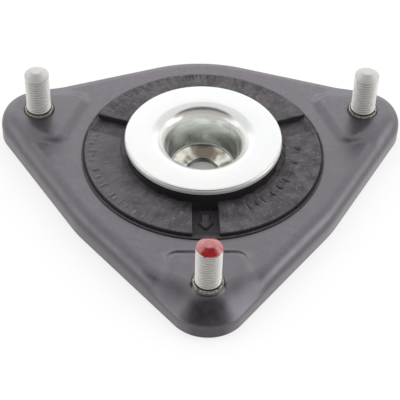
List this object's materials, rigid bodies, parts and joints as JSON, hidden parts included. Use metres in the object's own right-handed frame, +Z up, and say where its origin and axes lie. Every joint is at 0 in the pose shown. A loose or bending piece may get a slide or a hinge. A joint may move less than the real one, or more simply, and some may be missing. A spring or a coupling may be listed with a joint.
{
  "type": "strut mount",
  "caption": "Strut top mount: a triangular pressed plate with corner studs, a moulded rubber ring and a plated funnel dish over a hub with the rod hole.",
  "frame": {"origin": "centre of the strut rod's hole, on the hub's lower face, where the rod's shoulder seats", "axes": "+Z up along the strut rod, towards the dish; -Y towards the front stud; +X towards the right rear stud"},
  "size_m": [0.1668, 0.1489, 0.0335],
  "materials": {
    "plate_coat": "semi-gloss dark dip coat",
    "lower_coat": "semi-gloss dark dip coat",
    "rubber": "matt moulded, a little dusty",
    "hub_plating": "bright zinc plating",
    "dish_plating": "bright zinc plating",
    "stud_coat": "matt zinc flake coating",
    "front_stud_coat": "matt zinc flake coating, tip marked with red paint"
  },
  "bodies": {
    "root": {"upper_plate": "plate_coat", "lower_plate": "lower_coat", "rubber_insulator": "rubber", "inner_hub": "hub_plating", "stop_dish": "dish_plating", "stud_front": "front_stud_coat", "stud_left": "stud_coat", "stud_right": "stud_coat"}
  },
  "joints": []
}
